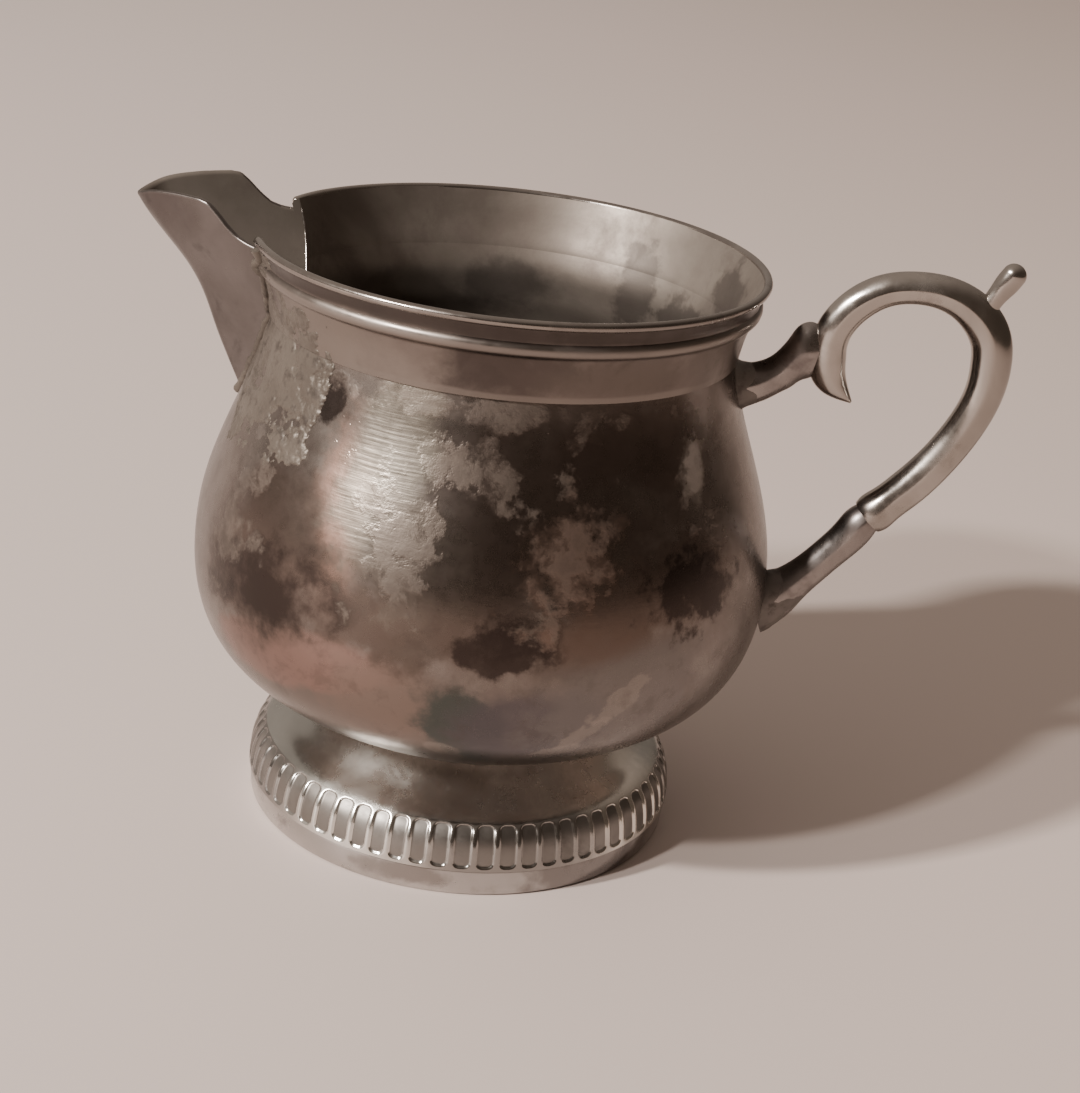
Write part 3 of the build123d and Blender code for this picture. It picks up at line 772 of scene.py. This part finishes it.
    # painted highlight: small bright spot on the right of the bowl
    colour = s.stain_and_light_patch(colour, (-36, 60.5, 2.0, 4.6, 8, 0.5, 2.0, 0.5), (0.50, 0.46, 0.43), 0.8)
    for args in ((-89, 24.8, 2.6, 1.5, -12, 0.12, 0.8, 0.2), (-68, 25.2, 5.8, 1.1, 8, 0.2, 2.4, 0.5),
                 (-62, 28.0, 3.6, 0.9, 38, 0.3, 3.4, 0.6), (-54, 34.5, 3.6, 1.2, 50, 0.3, 3.8, 0.6),
                 (172, 28.0, 5.5, 1.5, 20, 0.3, 2.6, 0.5), (48, 30.0, 6.0, 2.0, 20, 0.3, 2.6, 0.5)):
        colour = s.stain_and_light_patch(colour, args, (0.30, 0.262, 0.235), 0.45)
    colour = s.mix(s.step(mottle, 0.50, 0.66, 0.0, 0.30), colour, (0.085, 0.068, 0.060))
    rough_value = s.blend(deposits, rough_value, 0.42)
    rough_value = s.uneven(rough_value, fine, 0.16)
    rings = s.noise(1.0, 3, 0.6, vector=s.mapping((60, 60, 1500)), w=4.0)
    ripple = s.noise(1.0, 2, 0.5, vector=s.mapping((130, 130, 1900)), w=6.0)
    s.bump((rings, 0.00002, 0.3), (s.math("MULTIPLY", ripple, pale_patch_and_highlight), 0.00005, 0.7),
           (s.math("MULTIPLY", fine, deposits), 0.00007, 0.7), (s.noise(900, 3, 0.6), 0.000015, 0.5))
    return s.done(colour, s.blend(deposits, 1.0, 0.80), rough_value)


def inner_material():
    """Inside of the jug: duller plate with brown stains."""
    s = Shader("inside_plate")
    broad = s.noise(38, 5, 0.6, distortion=0.6, w=21.0)
    cloud = s.noise(95, 6, 0.66, distortion=0.5, w=22.0)
    fine = s.noise(600, 4, 0.65, w=23.0)
    colour = s.mix(s.step(broad, 0.36, 0.62), (0.145, 0.120, 0.103), (0.205, 0.178, 0.154))
    colour = s.mix(s.step(cloud, 0.50, 0.62, 0.0, 0.5), colour, (0.125, 0.10, 0.088))
    s.around()
    for args in ((14, 72.5, 11, 5.0, 0, 0.6, 0.8, 0.4), (58, 71.0, 4.5, 6.0, 0, 0.3, 1.6, 0.4),
                 (20, 76.5, 6.0, 3.6, 10, 0.3, 1.8, 0.4), (40, 70.0, 6, 3.0, 0, 0.3, 1.8, 0.4),
                 (96, 69.0, 9, 3.5, 0, 0.5, 1.0, 0.4)):
        colour = s.stain_and_light_patch(colour, args, (0.062, 0.051, 0.045), 0.7)
    rough_value = s.uneven(s.step(cloud, 0.35, 0.65, 0.44, 0.56), fine, 0.12)
    rings = s.noise(1.0, 3, 0.6, vector=s.mapping((60, 60, 1500)), w=4.0)
    s.bump((fine, 0.00002, 0.5), (rings, 0.00002, 0.3))
    return s.done(colour, 0.65, rough_value)


def plate_material(name, bright, dull, dark, wear=0.5, base_rough=0.22, rings=True, spots=0.5, stains_and_light_patches=()):
    """Silver plate, more or less tarnished; patches are (place and shape, colour, amount): stains, and in
    some calls painted highlights and painted shade.
    """
    s = Shader(name)
    broad = s.noise(45, 5, 0.6, distortion=0.7, w=1.5)
    cloud = s.noise(130, 6, 0.65, distortion=0.4, w=2.5)
    fine = s.noise(700, 4, 0.65, w=3.5)
    colour = s.mix(s.step(broad, 0.5 - 0.2 * wear, 0.5 + 0.22), dull, bright)
    colour = s.mix(s.step(cloud, 0.52, 0.66, 0.0, spots), colour, dark)
    for args, tint, amount in stains_and_light_patches:
        colour = s.stain_and_light_patch(colour, args, tint, amount)
    rough_value = s.blend(s.step(cloud, 0.4, 0.65), base_rough, base_rough + 0.14)
    rough_value = s.uneven(rough_value, fine, 0.12)
    layers = [(fine, 0.000015, 0.5)]
    if rings:
        layers.append((s.noise(1.0, 3, 0.6, vector=s.mapping((60, 60, 1600)), w=4.0), 0.000018, 0.35))
    s.bump(*layers)
    return s.done(colour, 1.0, rough_value)


def solder_material(name, low, high, pit, depth):
    """Dull grey-tan solder with dark pits."""
    s = Shader(name)
    broad = s.noise(90, 5, 0.6, w=1.0)
    grain = s.noise(420, 6, 0.68, w=2.0)
    colour = s.mix(s.step(broad, 0.35, 0.65), low, high)
    colour = s.mix(s.step(grain, 0.50, 0.66, 0.0, 0.75), colour, pit)
    s.bump((grain, depth, 0.9), (s.noise(1300, 4, 0.7), depth * 0.3, 0.6))
    return s.done(colour, 0.45, s.step(grain, 0.3, 0.7, 0.40, 0.55))


def line_inside(obj, material, test):
    """Gives the faces that pass the test a second material."""
    mesh = obj.data
    n = len(mesh.polygons)
    centre, normal = np.empty(n * 3), np.empty(n * 3)
    mesh.polygons.foreach_get("center", centre)
    mesh.polygons.foreach_get("normal", normal)
    picked = test(centre.reshape(-1, 3) / MM, normal.reshape(-1, 3))
    mesh.materials.append(material)
    index = np.empty(n, np.int32)
    mesh.polygons.foreach_get("material_index", index)
    index[picked] = len(mesh.materials) - 1
    mesh.polygons.foreach_set("material_index", index)


def faces_axis(centre, normal):
    """Faces that look towards the axis, and the bowl's floor."""
    out = (centre[:, :2] * normal[:, :2]).sum(1) / np.hypot(centre[:, 0], centre[:, 1])
    return (out < -0.05) | ((normal[:, 2] > 0.5) & (centre[:, 2] < 40))


def faces_shoulder(centre, normal):
    """Outer faces of the foot as far up as the panels reach."""
    return (centre[:, 2] < 10.3) & ((centre[:, :2] * normal[:, :2]).sum(1) > 0)


def faces_flute(centre, normal):
    """Floors of the foot's panels."""
    r = np.hypot(centre[:, 0], centre[:, 1])
    order = np.argsort(dome_outer[:, 1])
    gap = np.interp(centre[:, 2], dome_outer[order, 1], dome_outer[order, 0]) - r
    level = (centre[:, :2] * normal[:, :2]).sum(1) / r
    return (gap * np.clip(level, 0, 1) > 0.17) & (gap < 1.0) & (centre[:, 2] > 4.0) & (level > 0)


def faces_channel(centre, normal):
    """Faces on the inside of the spout."""
    reach, nose, _ = wedge(centre[:, 2])
    u, v = -centre[:, 0] - (reach - nose), centre[:, 1]
    return (normal[:, 0] * -u + normal[:, 1] * v) < 0


bowl.data.materials.append(bowl_material())
collar.data.materials.append(plate_material(
    "tarnished_collar_painted_light", (0.27, 0.235, 0.21), (0.18, 0.152, 0.138), (0.095, 0.075, 0.068), 0.6, 0.32, stains_and_light_patches=(
        ((-126, 76.0, 11, 6.0, 0, 0.5, 0.9, 0.5), (0.245, 0.212, 0.19), 0.8),
        ((-84, 75.5, 9, 5.0, 0, 0.5, 0.8, 0.5), (0.075, 0.06, 0.055), 0.85),
        ((-60, 74.5, 12, 3.0, 0, 0.5, 0.9, 0.5), (0.12, 0.10, 0.09), 0.7),
        ((95, 76.0, 16, 4.0, 0, 0.5, 0.9, 0.5), (0.085, 0.068, 0.06), 0.7),
        # painted shade: dark band all round the cove under the lip, where the hollow reflects darkness
        ((-90, 80.6, 300, 1.2, 0, 0.35, 0.25, 0.15), (0.062, 0.052, 0.048), 0.86),
        # painted highlight: pale line all round on the ridge
        ((-90, 78.45, 300, 0.6, 0, 0.45, 0.35, 0.2), (0.27, 0.24, 0.22), 0.75),
        ((-90, 71.6, 300, 0.5, 0, 0.45, 0.8, 0.4), (0.24, 0.21, 0.19), 0.6))))
lip.data.materials.append(plate_material(
    "worn_lip", (0.36, 0.33, 0.305), (0.24, 0.215, 0.20), (0.13, 0.11, 0.10), 0.7, 0.17, False, 0.4))
spout.data.materials.append(plate_material(
    "tarnished_spout", (0.19, 0.17, 0.162), (0.125, 0.108, 0.102), (0.07, 0.058, 0.055),
    0.5, 0.28, False, 0.5))
inside_mat = inner_material()
line_inside(bowl, inside_mat, faces_axis)
line_inside(collar, inside_mat, faces_axis)
line_inside(spout, inside_mat, faces_channel)
foot.data.materials.append(plate_material(
    "worn_foot_painted_highlights", (0.52, 0.52, 0.495), (0.36, 0.36, 0.34), (0.21, 0.205, 0.19), 0.8, 0.19, True, 0.18, (
        # painted highlights: bright patches on the dome at front left and at right, where the lamps reflect
        ((-113, 11.5, 9, 2.8, 0, 0.6, 0.8, 0.4), (0.88, 0.88, 0.84), 0.95),
        ((-27, 12.5, 12, 4.0, 0, 0.6, 0.8, 0.4), (0.86, 0.81, 0.74), 0.9))))
foot_ridges = plate_material(
    "worn_ridges_painted_light", (0.44, 0.42, 0.40), (0.30, 0.285, 0.27), (0.17, 0.16, 0.15), 0.6, 0.15, False, 0.3, (
        # painted highlights on the ridges at front left and at right
        ((-114, 7.0, 13, 9.0, 0, 0.6, 0.5, 0.3), (0.84, 0.83, 0.79), 0.95),
        ((-26, 7.0, 11, 9.0, 0, 0.6, 0.5, 0.3), (0.82, 0.78, 0.72), 0.9),
        # painted shade: ridges dulled on the left
        ((-160, 7.0, 14, 9.0, 0, 0.6, 0.5, 0.3), (0.27, 0.255, 0.245), 0.8)))
line_inside(foot, foot_ridges, faces_shoulder)
foot_flutes = plate_material(
    "dull_flutes", (0.30, 0.285, 0.27), (0.22, 0.205, 0.19), (0.12, 0.108, 0.10), 0.6, 0.33, False, 0.5)
line_inside(foot, foot_flutes, faces_flute)
foot_band.data.materials.append(plate_material(
    "polished_band", (0.58, 0.56, 0.545), (0.45, 0.43, 0.415), (0.19, 0.17, 0.16), 0.9, 0.18, True, 0.65, (
        ((-46, 2.0, 15, 3.6, 0, 0.4, 1.2, 0.6), (0.20, 0.18, 0.17), 0.8),
        ((-97, 2.5, 8, 1.6, 0, 0.4, 1.4, 0.6), (0.24, 0.215, 0.20), 0.7))))
handle_mat = plate_material(
    "polished_handle", (0.47, 0.435, 0.405), (0.33, 0.30, 0.275), (0.18, 0.153, 0.14), 0.6, 0.17, False, 0.35)
bracket_mat = plate_material(
    "tarnished_brackets", (0.33, 0.30, 0.285), (0.22, 0.195, 0.185), (0.11, 0.09, 0.085),
    0.5, 0.24, False, 0.5)
for piece in (grip, spur):
    piece.data.materials.append(handle_mat)
for piece in (upper_arm, lower_arm):
    piece.data.materials.append(bracket_mat)
for line in seam_lines:
    line.data.materials.append(lip.data.materials[0])
solder_mat = solder_material(
    "solder_crusted", (0.080, 0.065, 0.053), (0.122, 0.102, 0.085), (0.036, 0.028, 0.023), 0.00010)
joint_mat = solder_material(
    "solder_joints", (0.13, 0.113, 0.104), (0.19, 0.168, 0.152), (0.075, 0.062, 0.055), 0.00004)
for piece in (seam, crust):
    piece.data.materials.append(solder_mat)
for piece in (waist_fillet, upper_fillet, lower_fillet):
    piece.data.materials.append(joint_mat)


# ------------------------------------------------------------------ floor, light, camera
def floor_material():
    s = Shader("pale_floor_painted_shade")
    tone = s.noise(3.0, 4, 0.5)
    part = s.add("ShaderNodeSeparateXYZ")
    s.put(part.inputs[0], s.coord)
    # painted shade: floor colour darker and warmer towards +X, the side away from the lamps
    lamp_falloff_shade = s.step(part.outputs[0], -0.25, 0.25)
    s.put(s.bsdf.inputs["Specular IOR Level"], 0.25)
    colour = s.mix(lamp_falloff_shade, (0.68, 0.59, 0.56), (0.65, 0.545, 0.50))
    return s.done(s.mix(s.math("MULTIPLY", tone, 0.3), colour, (0.62, 0.53, 0.49)), 0.0, 0.6)


FLOOR_RADIUS, FLOOR_CORNERS = 2200, 128
turn = np.linspace(0, 2 * math.pi, FLOOR_CORNERS, endpoint=False)
edge = FLOOR_RADIUS * np.stack([np.cos(turn), np.sin(turn), 0 * turn], -1)
floor = make("floor", edge, [tuple(range(FLOOR_CORNERS))])
floor.data.materials.append(floor_material())


LAMP_ELEVATION, LAMP_DISTANCE, LAMP_SIZE = math.radians(32), 2.0, 0.11
AIM = Vector((0, 0, 0.04))


def lamp(name, azimuth, power, colour):
    """Small square lamp that stands at an azimuth, in degrees, and shines on the jug."""
    data = bpy.data.lights.new(name, "AREA")
    data.shape, data.size, data.energy, data.color = "SQUARE", LAMP_SIZE, power, colour
    a = math.radians(azimuth)
    level = math.cos(LAMP_ELEVATION)
    away = LAMP_DISTANCE * Vector((math.cos(a) * level, math.sin(a) * level, math.sin(LAMP_ELEVATION)))
    obj = bpy.data.objects.new(name, data)
    obj.location = AIM + away
    obj.rotation_mode = "QUATERNION"
    obj.rotation_quaternion = away.to_track_quat("Z", "Y")
    bpy.context.scene.collection.objects.link(obj)


lamp("key", 216, 53.0, (1.0, 0.93, 0.86))
lamp("second", 228, 29.0, (1.0, 0.93, 0.87))

world = bpy.data.worlds.new("studio")
bpy.context.scene.world = world
world.use_nodes = True
nodes, links = world.node_tree.nodes, world.node_tree.links
back = nodes["Background"]
sky = nodes.new("ShaderNodeTexCoord")
facing = nodes.new("ShaderNodeVectorMath")
facing.operation = "DOT_PRODUCT"
facing.inputs[1].default_value = Vector((-0.62, 0.35, 0.70)).normalized()
links.new(sky.outputs["Generated"], facing.inputs[0])
fade = nodes.new("ShaderNodeMapRange")
fade.interpolation_type = "SMOOTHSTEP"
for key, value in (("From Min", -0.25), ("From Max", 1.0), ("To Min", 0.0), ("To Max", 1.0)):
    fade.inputs[key].default_value = value
links.new(facing.outputs["Value"], fade.inputs["Value"])
blend = nodes.new("ShaderNodeMix")
blend.data_type = "RGBA"
links.new(fade.outputs[0], blend.inputs[0])
blend.inputs[6].default_value = (0.105, 0.080, 0.062, 1)
blend.inputs[7].default_value = (0.55, 0.465, 0.40, 1)
links.new(blend.outputs[2], back.inputs[0])
back.inputs[1].default_value = 1.0

# camera, in the row frame: position in metres, heading turned from +Y towards +X, pitch down, roll
DISTANCE, RISE = 0.2827, 0.1548
TURN, HEADING, PITCH, ROLL = math.radians(5.0), 0.0288, 0.3867, 0.1169
cam_data = bpy.data.cameras.new("camera")
cam_data.sensor_width = 36.0
cam_data.lens = 70.97
cam_data.clip_start, cam_data.clip_end = 0.01, 50
camera = bpy.data.objects.new("camera", cam_data)
bpy.context.scene.collection.objects.link(camera)
look = Vector((math.sin(HEADING) * math.cos(PITCH), math.cos(HEADING) * math.cos(PITCH), -math.sin(PITCH)))
right0 = Vector((math.cos(HEADING), -math.sin(HEADING), 0))
up0 = right0.cross(look)
right = math.cos(ROLL) * right0 + math.sin(ROLL) * up0
up = -math.sin(ROLL) * right0 + math.cos(ROLL) * up0
basis = Matrix((right, up, -look)).transposed().to_4x4()
camera.matrix_world = Matrix.Rotation(TURN, 4, "Z") @ Matrix.Translation((0, -DISTANCE, RISE)) @ basis
bpy.context.scene.camera = camera
